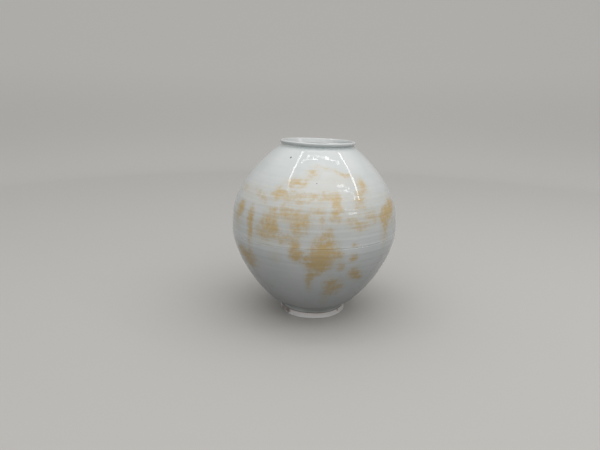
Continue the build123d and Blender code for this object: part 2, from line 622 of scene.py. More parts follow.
STAINS: tuple[Mark, ...] = (
    # thin wash over the upper half
    Mark(-20, 298, 120, 60, 0.17),
    Mark(15, 335, 110, 55, 0.13),
    Mark(-52, 336, 70, 14, 0.20),
    Mark(48, 300, 60, 34, 0.12),
    # under the shoulder
    Mark(-1.5, 388, 18, 10, 0.58),
    Mark(8, 401, 16, 4, 0.28),
    Mark(17, 394, 18, 4, 0.34, -8),
    Mark(26, 386, 18, 4, 0.42, -12),
    Mark(22, 376, 26, 9, 0.28),
    Mark(39, 364, 14, 11, 0.60),
    Mark(41, 351, 12, 12, 0.34),
    Mark(33, 331, 11, 19, 0.54, -25),
    Mark(-14, 367, 16, 9, 0.56),
    Mark(-20, 367, 16, 7, 0.26),
    Mark(-7, 368, 9, 6, 0.26),
    Mark(-26, 348, 14, 8, 0.70),
    Mark(-66, 342, 26, 7, 0.30),
    Mark(-39, 329, 26, 6, 0.26, -25),
    Mark(-27, 335, 22, 6, 0.30),
    Mark(-11, 338, 32, 10, 0.46),
    Mark(-27, 310, 8, 5, 0.38),
    # between the shoulder and the belly
    Mark(9, 340, 32, 9, 0.38),
    Mark(16, 326, 9, 18, 0.48),
    Mark(13.5, 302, 10, 16, 0.44),
    Mark(5, 299, 8, 17, 0.38),
    Mark(-2, 306, 13, 8, 0.34, 40),
    Mark(-18, 304, 17, 13, 0.46),
    Mark(-29, 289, 17, 12, 0.54),
    Mark(-25, 266, 12, 11, 0.60),
    Mark(-32, 268, 20, 14, 0.58),
    Mark(-30, 245, 34, 12, 0.46),
    Mark(-10, 276, 15, 26, 0.58),
    Mark(-4, 289, 14, 8, 0.40),
    Mark(-18, 245, 14, 9, 0.40),
    Mark(-45.5, 281, 9, 20, 0.95),
    Mark(-45, 240, 8, 28, 0.46),
    Mark(-59, 299, 13, 12, 0.95),
    Mark(-63, 272, 22, 20, 0.50),
    Mark(24.5, 286, 16, 12, 0.44),
    Mark(31, 273, 15, 9, 0.40),
    Mark(39, 290, 15, 16, 0.38),
    Mark(47, 290, 12, 12, 0.26),
    Mark(63, 299, 34, 13, 1.20, 14),
    Mark(52.5, 258, 13, 30, 0.66),
    Mark(64, 268, 28, 12, 0.40),
    Mark(64, 331, 22, 5, 0.26),
    # across and below the seam
    Mark(8.5, 262, 9, 13, 0.50),
    Mark(6.5, 238, 22, 15, 0.88),
    Mark(5, 211, 34, 13, 1.00),
    Mark(3, 189, 25, 11, 1.20),
    Mark(16, 210, 8, 12, 0.40),
    Mark(-11.5, 218, 11, 17, 1.00),
    Mark(18.5, 181, 10, 10, 0.64),
    Mark(26.5, 202, 10, 9, 0.92),
    Mark(26.5, 234, 7, 5, 0.52),
    Mark(-3, 142, 9, 23, 0.66),
    Mark(1, 160, 11, 10, 0.56),
    Mark(5, 172, 10, 9, 0.46),
    Mark(29, 160, 14, 13, 0.90, -30),
    Mark(34.5, 145, 14, 10, 0.78, -30),
    Mark(11, 112, 13, 36, 0.54),
    Mark(18.5, 122, 17, 19, 0.74),
    Mark(14, 142, 14, 5, 0.24),
    Mark(-52, 178, 28, 19, 1.15),
    Mark(-60, 190, 20, 14, 0.40),
    Mark(-25, 200, 12, 12, 0.26),
)

# iron that has melted up through the glaze
SPECKS: tuple[Mark, ...] = (
    Mark(-29.2, 418, 3.6, 1.6),
    Mark(1.6, 368, 1.2, 0.9),
    Mark(47, 150, 0.9, 0.8),
    Mark(-36, 108, 1.1, 0.9),
)

# kiln grit that was knocked off the foot at the front left and right, and a broad patch of painted shade
# over the foot's left end
FOOT_SCARS_AND_SHADE: tuple[Mark, ...] = (
    Mark(-47, 10, 20, 5.0),
    # painted shade, not a mark: darkens the foot's left end, which turns away from the light
    Mark(-62, 9, 70, 11.0),
    Mark(52, 12, 10, 3.5),
)


@dataclass(frozen=True)
class Fired:
    """Surface of fired clay, glazed or bare."""

    name: str
    ior: float = 1.52

    def coating(self, nodes: Nodes, where: Socket) -> Coat:
        """Adds the nodes of the surface to a material.

        Args:
            nodes: the material's nodes.
            where: the place on the jar, in metres.

        Returns:
            The sockets that carry its colour, its roughness and its relief in millimetres.
        """
        raise NotImplementedError

    def material(self) -> bpy.types.Material:
        """Builds the surface.

        Returns:
            The new material.
        """
        made, nodes, shader, where = new_finish(self.name)
        colour, gloss, relief = self.coating(nodes, where)
        bump = {"Strength": 1.0, "Distance": MM, "Height": relief}
        normal = add(nodes.tree, "ShaderNodeBump", {}, bump).outputs["Normal"]
        for socket, name in ((colour, "Base Color"), (gloss, "Roughness"), (normal, "Normal")):
            nodes.tree.links.new(socket, shader.inputs[name])
        shader.inputs["IOR"].default_value = self.ior
        return made


@dataclass(frozen=True)
class MilkyGlaze(Fired):
    """Clear feldspar glaze over white porcelain, dipped, and fired glossy in a wood kiln.

    The coat is about half a millimetre deep and full of tiny bubbles, so the white body shows through it
    milky and faintly blue, with a sharp gloss on top. Under the lip the colour is painted darker, partly
    for glaze that settles there and partly as painted shade of the lip. Heights are in millimetres.
    """

    name: str = "glazed_porcelain"
    coat: str = "#e4e7e6"
    pooled: str = "#dce2e1"
    # grey blue of glaze settled under the lip, made darker as painted shade of the lip
    thick_glaze_and_shade: str = "#c6cfce"
    stain_pale: str = "#dbceb4"
    stain_deep: str = "#dac08c"
    iron: str = "#37332f"
    roughness: float = 0.045
    gloss_drift: float = 0.03
    line_relief: float = 0.045
    peel_relief: float = 0.03
    belly_radius: float = 212.5
    back_share: float = 0.86
    back_turn: float = 480.0
    upper_axis: Spot = (0.0237, 0.0, 0.9997)
    ring_low: Span = (431.0, 440.0)
    ring_high: Span = (447.0, 441.5)
    ring_outside: Span = (88.0, 91.0)
    stained: bool = True
    stain_wash: float = 0.72
    stain_core: float = 0.28
    speck_strength: float = 0.85

    def coating(self, nodes: Nodes, where: Socket) -> Coat:
        """Lays the coat, the places where it pools, and the stains and spots in it.

        Args:
            nodes: the material's nodes.
            where: the place on the jar, in metres.

        Returns:
            The sockets that carry its colour, its roughness and its relief in millimetres.
        """
        # the coat runs thicker and thinner over a hand's breadth
        flow = nodes.noise(where, wave=70, detail=2.0, roughness=0.5)
        colour = nodes.mix(nodes.ramp(flow, 0.35, 0.7, soft=False), self.coat, self.pooled)
        # painted shade under the lip, in the grey blue of the glaze that settles there
        colour = nodes.mix(self.gathered_glaze_and_shade(nodes, where), colour, self.thick_glaze_and_shade)
        # throwing lines: level ridges about 3 mm apart, and 20 times as long as they are wide
        stretched = nodes.vector("MULTIPLY", where, (1.0, 1.0, 20.0))
        lines = nodes.noise(stretched, wave=60, detail=2.0, roughness=0.5)
        # the skin of the glaze heaves slightly, like orange peel
        peel = nodes.noise(where, wave=9, detail=1.0, roughness=0.4)
        relief = nodes.math("MULTIPLY", lines, self.line_relief)
        relief = nodes.math("MULTIPLY_ADD", peel, self.peel_relief, relief)
        smoothest = self.roughness - self.gloss_drift / 2
        gloss = nodes.math("MULTIPLY_ADD", flow, self.gloss_drift, smoothest)
        if self.stained:
            spot = self.unrolled(nodes, where)
            depth = self.stain_depth(nodes, where, spot, lines)
            # a thin stain tints the glaze evenly; a deep one is paler at its rim than in its core
            wash = nodes.ramp(depth, 0.05, 0.95, high=self.stain_wash, soft=False)
            core = nodes.ramp(depth, 0.5, 0.8, high=self.stain_core)
            deep = nodes.ramp(depth, 0.85, 1.5, soft=False)
            colour = nodes.mix(nodes.math("ADD", wash, core), colour, self.stain_pale)
            colour = nodes.mix(deep, colour, self.stain_deep)
            colour = nodes.mix(self.spots(nodes, spot, SPECKS), colour, self.iron)
        return colour, gloss, relief

    def gathered_glaze_and_shade(self, nodes: Nodes, where: Socket) -> Socket:
        """Finds the ring under the lip that is painted darker: glaze that ran down the lip and settled
        there deep and grey blue, and painted shade that the lip casts on the shoulder.

        Args:
            nodes: the material's nodes.
            where: the place on the jar, in metres.

        Returns:
            The socket that carries 1 under the lip, fading out 9 mm below it and towards its top.
        """
        up = nodes.vector("DOT_PRODUCT", where, self.upper_axis)
        low = nodes.ramp(up, *(MM * height for height in self.ring_low))
        high = nodes.ramp(up, *(MM * height for height in self.ring_high))
        outside = nodes.ramp(nodes.reach(where), *(MM * radius for radius in self.ring_outside))
        return nodes.math("MULTIPLY", nodes.math("MULTIPLY", low, high), outside)

    def unrolled(self, nodes: Nodes, where: Socket) -> Socket:
        """Unrolls the wall: millimetres along the belly from its middle, and millimetres up.

        The back half is unrolled upside down and a little wider, so that it carries stains of
        the same kind in other places.

        Args:
            nodes: the material's nodes.
            where: the place on the jar, in metres.

        Returns:
            The socket that carries the place on the unrolled wall.
        """
        axes = nodes.axes(where)
        turned = nodes.math("ARCSINE", nodes.math("DIVIDE", axes["X"], nodes.reach(where)))
        front = nodes.math("LESS_THAN", axes["Y"], 0.0)
        radius = nodes.blend(front, self.back_share * self.belly_radius, self.belly_radius)
        up = nodes.math("DIVIDE", axes["Z"], MM)
        height = nodes.blend(front, nodes.math("SUBTRACT", self.back_turn, up), up)
        inputs = {0: nodes.math("MULTIPLY", turned, radius), 1: height}
        return add(nodes.tree, "ShaderNodeCombineXYZ", {}, inputs).outputs[0]

    def patches(self, nodes: Nodes, spot: Socket, marks: tuple[Mark, ...], spread: float) -> Socket:
        """Adds up round patches on the unrolled wall.

        Args:
            nodes: the material's nodes.
            spot: the place on the unrolled wall, in millimetres.
            marks: the patches.
            spread: how far a patch fades out, in half widths.

        Returns:
            The socket that carries their depths, each falling evenly from its middle to its edge.
        """
        total: Any = 0.0
        for mark in marks:
            inputs = {
                "Vector": spot,
                "Location": (radians(mark.azimuth) * self.belly_radius, mark.height, 0.0),
                "Rotation": (0.0, 0.0, radians(mark.tilt)),
                "Scale": (spread * mark.half_width, spread * mark.half_height, 1.0),
            }
            local = add(nodes.tree, "ShaderNodeMapping", {"vector_type": "TEXTURE"}, inputs).outputs[0]
            settings = {"gradient_type": "SPHERICAL"}
            fade = add(nodes.tree, "ShaderNodeTexGradient", settings, {"Vector": local}).outputs["Fac"]
            total = nodes.math("MULTIPLY_ADD", fade, mark.depth, total)
        return total

    def stain_depth(self, nodes: Nodes, where: Socket, spot: Socket, lines: Socket) -> Socket:
        """Adds up the stains and frays them.

        Args:
            nodes: the material's nodes.
            where: the place on the jar, in metres.
            spot: the place on the unrolled wall, in millimetres.
            lines: the throwing lines, which hold a stain back.

        Returns:
            The socket that carries how deep the stain is, about 0 to 1.
        """
        # the seep wanders by up to 9 mm, in waves 22 mm long
        wander = nodes.noise(where, wave=22, detail=3.0, roughness=0.6, output="Color")
        wander = nodes.vector("MULTIPLY_ADD", wander, (18.0, 18.0, 0.0), (-9.0, -9.0, 0.0))
        total = self.patches(nodes, nodes.vector("ADD", spot, wander), STAINS, spread=2.0)
        # blotches 12 mm across, and the throwing lines, let more or less of it in
        blotch = nodes.noise(where, wave=12, detail=4.0, roughness=0.7)
        uptake = nodes.ramp(blotch, 0.35, 0.65, low=0.99, high=2.13, soft=False, clamp=False)
        ridges = nodes.ramp(lines, 0.35, 0.65, low=1.25, high=0.75, soft=False, clamp=False)
        return nodes.math("MULTIPLY", total, nodes.math("MULTIPLY", uptake, ridges))

    def spots(
        self, nodes: Nodes, spot: Socket, marks: tuple[Mark, ...], full: float = 0.4
    ) -> Socket:
        """Adds small spots.

        Args:
            nodes: the material's nodes.
            spot: the place on the unrolled wall, in millimetres.
            marks: the spots to draw.
            full: the share of the way in, from edge to middle, where a spot is at its strongest.

        Returns:
            The socket that carries nearly 1 on a spot and 0 beside it.
        """
        depth = self.patches(nodes, spot, marks, spread=1.4)
        return nodes.ramp(depth, 0.05, full, high=self.speck_strength)


@dataclass(frozen=True)
class WipedFoot(Fired):
    """Porcelain foot: glazed above its groove, and wiped bare and fired matt below it.

    Lines, walls and heights are in millimetres.
    """

    name: str = "bare_porcelain"
    # the foot's glaze is greyer than the body's: partly deeper glaze in the hollow, partly painted shade
    # of the bowl above it
    glaze: MilkyGlaze = field(
        default_factory=lambda: MilkyGlaze(coat="#ccd3d1", pooled="#c3cbc9", stained=False)
    )
    bare: str = "#fbfaf8"
    soiled: str = "#f2edea"
    flashed: str = "#d5b8a6"
    # kiln dust in the groove, darkened as painted shade of the groove
    groove_dust_and_shade: str = "#857c72"
    # brown of the scars, used also for the painted shade over the foot's left end
    scar_and_shade: str = "#8f8177"
    roughness: float = 0.72
    glaze_line: float = 14.6
    inner_glaze_line: float = 4.0
    line_wander: float = 2.4
    glaze_edge: float = 0.25
    sand_relief: float = 0.12
    wall_middle: float = 77.0
    groove_inner_radius: float = 82.4
    groove_outer_radius: float = 84.0

    def coating(self, nodes: Nodes, where: Socket) -> Coat:
        """Lays the glaze, the bare band, and the dust and scars on them, with painted shade in the groove
        and over the foot's left end.

        Args:
            nodes: the material's nodes.
            where: the place on the jar, in metres.

        Returns:
            The sockets that carry its colour, its roughness and its relief in millimetres.
        """
        colour, gloss, relief = self.glaze.coating(nodes, where)
        height, radius = nodes.axes(where)["Z"], nodes.reach(where)
        outside = nodes.math("GREATER_THAN", radius, self.wall_middle * MM)
        # the sponge that wiped the foot wandered by a millimetre every 12 mm
        wander = nodes.noise(where, wave=12, detail=2.0, roughness=0.5)
        line = nodes.blend(outside, self.inner_glaze_line * MM, self.glaze_line * MM)
        line = nodes.math("MULTIPLY_ADD", wander, self.line_wander * MM, line)
        above = nodes.math("SUBTRACT", height, line)
        glazed = nodes.ramp(above, -1.5 * MM, -0.9 * MM)
        # just under the glaze the fire flushed the clay pink, in patches
        patches = nodes.noise(where, wave=30, detail=3.0, roughness=0.6)
        flash = nodes.math("MULTIPLY", nodes.ramp(above, -3.5 * MM, -1.2 * MM, high=0.4), patches)
        # the soiled tint fades out in the lowest few millimetres, which are the whitest
        upper = nodes.ramp(height, 4.0 * MM, 8.0 * MM, low=0.15)
        soil = nodes.math("MULTIPLY", nodes.ramp(patches, 0.3, 0.6, low=0.35), upper)
        body = nodes.mix(flash, nodes.mix(soil, self.bare, self.soiled), self.flashed)
        # dark colour in the groove above the bare band: kiln dust, and painted shade of the groove
        rim, bottom = self.groove_outer_radius * MM, self.groove_inner_radius * MM
        groove = nodes.math("MULTIPLY", nodes.ramp(radius, rim, bottom, high=0.9), outside)
        # scars, and painted shade over the foot's left end
        scar_and_shade_mask = self.glaze.spots(nodes, self.glaze.unrolled(nodes, where), FOOT_SCARS_AND_SHADE, 1.1)
        colour = nodes.mix(groove, nodes.mix(glazed, body, colour), self.groove_dust_and_shade)
        colour = nodes.mix(scar_and_shade_mask, colour, self.scar_and_shade)
        gloss = nodes.blend(glazed, self.roughness, gloss)
        # fine sand grain, drawn at 1.2 mm because the real 0.2 mm would not show
        sand = nodes.noise(where, wave=1.2, detail=2.0, roughness=0.6)
        relief = nodes.blend(glazed, nodes.math("MULTIPLY", sand, self.sand_relief), relief)
        # the glaze ends in an edge that stands off the bare clay
        relief = nodes.math("MULTIPLY_ADD", glazed, self.glaze_edge, relief)
        return colour, gloss, relief


# Pieces of the jar


@dataclass(frozen=True)
class Dressing:
    """What every piece is made with: the wheel, the sizes and the hand-thrown wall."""

    wheel: Wheel
    sizes: JarSizes
    wall: ThrownWall

    def dress(
        self, node: str, slot: str, finish: bpy.types.Material, rings: np.ndarray, closing: Closing
    ) -> bpy.types.Object:
        """Skins rings as the piece that takes a solid's place.

        Args:
            node: the solid that it stands for.
            slot: its material slot in the record; not used.
            finish: its material.
            rings: its rings of points, in millimetres.
            closing: how they close.

        Returns:
            The new piece.
        """
        piece = self.wheel.mesh(f"{node}_dressed", rings, closing)
        piece.data.materials.append(finish)
        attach(piece, "root")
        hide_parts(node)
        log.info("%s: %d faces, stands for %s", piece.name, len(piece.data.polygons), node)
        return piece


@dataclass(frozen=True)
class FootRing:
    """Thrown and trimmed foot: a bare band, a groove where the glaze stops, and a waist."""

    kit: Dressing
    band_stand: float = 2.4
    band_height: float = 13.2
    band_lean: float = 1.2
    bevel: float = 1.5
    inner_round: float = 2.0
    groove_depth: float = 2.8
    groove_width: float = 2.6
    waist_hollow: float = 0.9
    wander: tuple[Wave, ...] = ((0.30, 2, 0.7), (0.22, 5, 0.0), (0.10, 13, 2.0))
    sway: tuple[Wave, ...] = ((0.45, 3, 1.1), (0.25, 7, 0.0))
    chip_angle: float = 220.0
    chip_radius: float = 8.0
    chip_depth: float = 3.6
    chip_height: float = 1.5

    def outline(self) -> np.ndarray:
        """Draws the foot's section.

        Returns:
            Its outline, from the middle of its top round by the bore and the outside.
        """
        s = self.kit.sizes
        radius, waist = s.foot_waist_radius + self.band_stand, s.foot_waist_radius
        top_middle = (waist + s.bore_top_radius) / 2
        waist_low = self.band_height + self.groove_width
        corners = [
            (top_middle, s.foot_height, 0.0),
            (s.bore_top_radius, s.foot_height, 0.3),
            (s.bore_radius, 0.0, self.inner_round),
            (radius - self.bevel, 0.0, 1.0),
            (radius, self.bevel, 1.2),
            (radius - self.band_lean, self.band_height, 0.6),
            (waist - self.groove_depth, self.band_height + self.groove_width / 2, 0.5),
            (waist, waist_low, 0.8),
            (waist - self.waist_hollow, (waist_low + s.foot_height) / 2, 40.0),
            (waist, s.foot_height, 0.3),
            (top_middle, s.foot_height, 0.0),
        ]
        return rounded_line(corners, step=0.62)[:-1]

    def build(self, finish: bpy.types.Material) -> bpy.types.Object:
        """Makes the foot with its turning marks, its chip and a lump of kiln grit.

        Args:
            finish: its material.

        Returns:
            The foot.
        """
        s = self.kit.sizes
        rings = self.kit.wheel.turn(self.outline())
        angle = np.arctan2(rings[..., 1], rings[..., 0])
        radius, height = np.hypot(rings[..., 0], rings[..., 1]), rings[..., 2]
        outer = soft_step(radius, s.bore_radius + 4, s.foot_waist_radius - 3)
        low = 1 - soft_step(height, self.band_height + self.groove_width, s.foot_height - 1)
        grown = 1 + outer * low * waves(angle, *self.wander) / radius
        band = soft_step(height, 2.0, 8.0) * (1 - soft_step(height, 20.0, s.foot_height - 1))
        lift = outer * band * waves(angle, *self.sway)
        rings = np.stack([rings[..., 0] * grown, rings[..., 1] * grown, height + lift], axis=-1)
        rings = self.chipped(self.worn(rings, middle=-76.0, half=20.0, lift=2.0))
        rings = self.gritty(rings, azimuth=14.0, height=9.5, size=1.5, rise=0.9)
        return self.kit.dress("foot_ring", "bare_porcelain", finish, rings, Closing.LOOP)

    def worn(self, rings: np.ndarray, middle: float, half: float, lift: float) -> np.ndarray:
        """Rubs the standing edge away over part of its length.

        Args:
            rings: the foot's rings.
            middle: azimuth of the worn part, in degrees from the front towards +X.
            half: half its length, in degrees.
            lift: how much of the edge is gone, in millimetres.

        Returns:
            The rings with the worn edge.
        """
        azimuth = np.degrees(np.arctan2(rings[..., 0], -rings[..., 1]))
        radius = np.hypot(rings[..., 0], rings[..., 1])
        there = 1 - soft_step(abs(azimuth - middle), half - 3, half + 3)
        edge = soft_step(radius, 80.0, 84.0) * (1 - soft_step(rings[..., 2], 2.0, 8.0))
        return rings + (lift * there * edge)[..., None] * np.array([0.0, 0.0, 1.0])

    def chipped(self, rings: np.ndarray) -> np.ndarray:
        """Presses the shell-shaped hollow of a chip into the edge of the foot.

        Args:
            rings: the foot's rings.

        Returns:
            The rings with the scar.
        """
        radius = self.kit.sizes.foot_waist_radius + self.band_stand
        reach = radius + self.chip_radius - self.chip_depth
        turn = radians(self.chip_angle)
        middle = np.array([reach * cos(turn), reach * sin(turn), self.chip_height])
        away = rings - middle
        far = np.maximum(np.linalg.norm(away, axis=-1, keepdims=True), 1e-6)
        ripple = 0.25 * np.sin(2.2 * rings[..., 2:3] + 0.9 * rings[..., :1])
        return np.where(far < self.chip_radius, middle + away / far * (self.chip_radius + ripple), rings)

    def gritty(
        self, rings: np.ndarray, azimuth: float, height: float, size: float, rise: float
    ) -> np.ndarray:
        """Raises one grain that stuck to the foot in the kiln.

        Args:
            rings: the foot's rings.
            azimuth: degrees from the front towards +X.
            height: its height, in millimetres.
            size: its half width.
            rise: how far it stands out.

        Returns:
            The rings with the grain.
        """
        radius = self.kit.sizes.foot_waist_radius + self.band_stand
        spot = np.array([radius * sin(radians(azimuth)), -radius * cos(radians(azimuth)), height])
        near = np.exp(-((np.linalg.norm(rings - spot, axis=-1) / size) ** 2))
        out = rings[..., :2] / np.maximum(np.hypot(rings[..., 0], rings[..., 1]), 1e-6)[..., None]
        return np.concatenate([rings[..., :2] + out * (rise * near)[..., None], rings[..., 2:]], axis=-1)


@dataclass(frozen=True)
class FootJoin:
    """Slip between the foot and the bowl, drawn by the glaze into a small hollow fillet."""

    kit: Dressing
    fillet: float = 1.6

    def outline(self) -> np.ndarray:
        """Draws the section of the slip.

        Returns:
            Its outline, from its top by the bore and the underside to the fillet outside.
        """
        s = self.kit.sizes
        low, high, f = s.foot_height, s.bowl_seat, self.fillet
        edge = s.foot_waist_radius
        corners = [
            (s.bore_top_radius + 3, high, 0.0),
            (s.bore_top_radius, high, 0.1),
            (s.bore_top_radius, low, 0.1),
            (edge - 0.6, low, 0.0),
            (edge - 0.6, low - f, 0.0),
            (edge - 0.1, low - f, 0.0),
            (edge + 0.05, high - 0.3, f),
            (edge + f + 0.8, high + 0.25, 0.0),
            (edge + f + 0.6, high + 0.6, 0.0),
            (edge - 0.4, high + 0.1, 0.0),
            (s.bore_top_radius + 3, high, 0.0),
        ]
        return rounded_line(corners, step=0.5)[:-1]

    def build(self, finish: bpy.types.Material) -> bpy.types.Object:
        """Makes the ring of slip."""
        rings = self.kit.wheel.turn(self.outline())
        return self.kit.dress("foot_slip", "slip", finish, rings, Closing.LOOP)


@dataclass(frozen=True)
class LowerBowl:
    """Lower bowl with the jar's floor, its sagging base and the groove in its rim."""

    kit: Dressing

    def outline(self) -> np.ndarray:
        """Draws the bowl's section.

        Returns:
            Its outline, from the middle of its base by the outside to the middle of the floor.
        """
        s = self.kit.sizes
        sag_radius = (s.bore_top_radius**2 + s.base_sag**2) / (2 * s.base_sag)
        sweep = np.linspace(0.5 / sag_radius, np.arcsin(s.bore_top_radius / sag_radius), 40)
        base = np.column_stack(
            [sag_radius * np.sin(sweep), s.base_height + sag_radius * (1 - np.cos(sweep))]
        )
        seat = np.array([(s.bore_top_radius, s.bowl_seat), (s.foot_waist_radius, s.bowl_seat)])
        outline = [s.lower_point(share) for share in s.lower_outline]
        outside = drawn_curve(
            [(s.foot_waist_radius, s.bowl_seat), *outline, (s.belly_radius, s.lower_rim)],
            (1, s.foot_turn),
            (0, 1),
            step=1.45,
        )
        edge, rim = (s.belly_radius, s.lower_rim, 0.0), (s.rim_inside, s.lower_rim, 0.0)
        groove = rounded_line([edge, *s.vee(s.lower_rim), rim], step=1.2)
        inside = drawn_curve(
            [
                (s.rim_inside, s.lower_rim),
                s.inside(outline[-1], s.seam_height, (s.lower_wall + s.seam_wall) / 2),
                s.inside(outline[-2], s.seam_height, s.lower_wall),
                s.inside(outline[1], s.seam_height, (s.lower_wall + s.floor_wall) / 2),
                (0.5, s.base_height + s.floor_wall),
            ],
            (0, -1),
            (-1, 0),
            step=4.2,
        )
        return chain(even_steps(base, step=4.0), even_steps(seat, step=4.0), outside, groove, inside)

    def build(self, finish: bpy.types.Material) -> bpy.types.Object:
        """Makes the lower bowl."""
        rings = self.kit.wall.shape(self.kit.wheel.turn(self.outline()))
        return self.kit.dress("lower_bowl", "glazed_porcelain", finish, rings, Closing.POLES)


@dataclass(frozen=True)
class BellySeam:
    """Slip that joins the two bowls, and shows as a thin ridge round the belly."""

    kit: Dressing
    bead: float = 1.4
    ridge: float = 0.25

    def outline(self) -> np.ndarray:
        """Draws the section of the slip.

        Returns:
            Its outline, from the lower rim's inside by the outside and the bead back again.
        """
        s = self.kit.sizes
        corners = [
            (s.rim_inside, s.lower_rim, 0.0),
            *s.vee(s.lower_rim)[::-1],
            (s.belly_radius, s.lower_rim, 0.0),
            (s.belly_radius + self.ridge, s.seam_height, 1.0),
            (s.belly_radius, s.upper_rim, 0.0),
            *s.vee(s.upper_rim),
            (s.rim_inside, s.upper_rim, 0.0),
            (s.rim_inside - self.bead, s.seam_height, 1.2),
            (s.rim_inside, s.lower_rim, 0.0),
        ]
        return rounded_line(corners, step=0.5)[:-1]

    def build(self, finish: bpy.types.Material) -> bpy.types.Object:
        """Makes the ring of slip."""
        rings = self.kit.wall.shape(self.kit.wheel.turn(self.outline()))
        return self.kit.dress("belly_slip", "slip", finish, rings, Closing.LOOP)


@dataclass(frozen=True)
class UpperBowl:
    """Upper bowl, thrown apart, turned over and luted on, leaning a little to one side."""

    kit: Dressing
    undercut: float = 3.0

    def walls(self) -> tuple[np.ndarray, np.ndarray, np.ndarray]:
        """Draws the bowl's section by radius and rise.

        Returns:
            The outside upwards, the land round the mouth inwards, and the inside downwards.
        """
        s = self.kit.sizes
        outline = [s.upper_point(share) for share in s.upper_outline]
        outside = drawn_curve(
            [(s.belly_radius, 0.0), *outline, (s.neck_radius, s.shoulder_rise)],
            (0, 1),
            (-1, s.shoulder_slope),
            step=1.4,
        )
        funnel = (s.mouth_radius + 0.6, s.shoulder_rise)
        edge = (s.mouth_radius - 1.2, s.shoulder_rise - 2.2)
        under = (s.mouth_radius + self.undercut, s.shoulder_rise - s.mouth_land)
        land = even_steps(np.array([(s.neck_radius, s.shoulder_rise), funnel, edge, under]), step=1.2)
        inside = drawn_curve(
            [
                under,
                s.inside(outline[2], 0, s.upper_wall),
                s.inside(outline[1], 0, s.upper_wall),
                s.inside(outline[0], 0, (s.upper_wall + s.seam_wall) / 2),
                (s.rim_inside, 0.0),
            ],
            (1, -s.shoulder_slope),
            (0, -1),
            step=4.0,
        )
        return outside, land, inside

    def down_to_rim(self, line: np.ndarray) -> np.ndarray:
        """Turns a line that starts at the belly, and cuts or stretches it down to the level rim.

        The bowl leans, so on one side its wall ends a little above its own widest line and on
        the other a little below it.

        Args:
            line: rows of radius and rise, from the belly upwards.

        Returns:
            Rings of points, the first of them level at the rim.
        """
        s = self.kit.sizes
        tip = radians(s.lean_angle)
        run = np.concatenate([[0.0], np.cumsum(np.hypot(*np.diff(line, axis=0).T))])
        angle = self.kit.wheel.azimuths()
        radius = line[0, 0]
        start = ((s.upper_rim - s.seam_height) + radius * np.cos(angle) * sin(tip)) / cos(tip)
        stops = start + (run[-1] - start) * (run / run[-1])[:, None]
        reach = np.interp(stops, run, line[:, 0])
        rise = np.where(stops < 0, stops, np.interp(stops, run, line[:, 1]))
        return np.stack([reach * np.cos(angle), reach * np.sin(angle), rise], axis=-1)

    def build(self, finish: bpy.types.Material) -> bpy.types.Object:
        """Makes the upper bowl.

        Args:
            finish: its material.

        Returns:
            The bowl.
        """
        s, wheel, wall = self.kit.sizes, self.kit.wheel, self.kit.wall
        outside, land, inside = self.walls()
        down, up = self.down_to_rim(outside), self.down_to_rim(inside[::-1])[::-1]
        leaning = wall.lean(np.concatenate([down, wheel.turn(land[1:-1]), up]))
        tongue = wheel.turn(np.array(s.vee(s.upper_rim)[::-1])[:, :2])
        rings = wall.shape(np.concatenate([leaning, tongue]))
        return self.kit.dress("upper_bowl", "glazed_porcelain", finish, rings, Closing.LOOP)


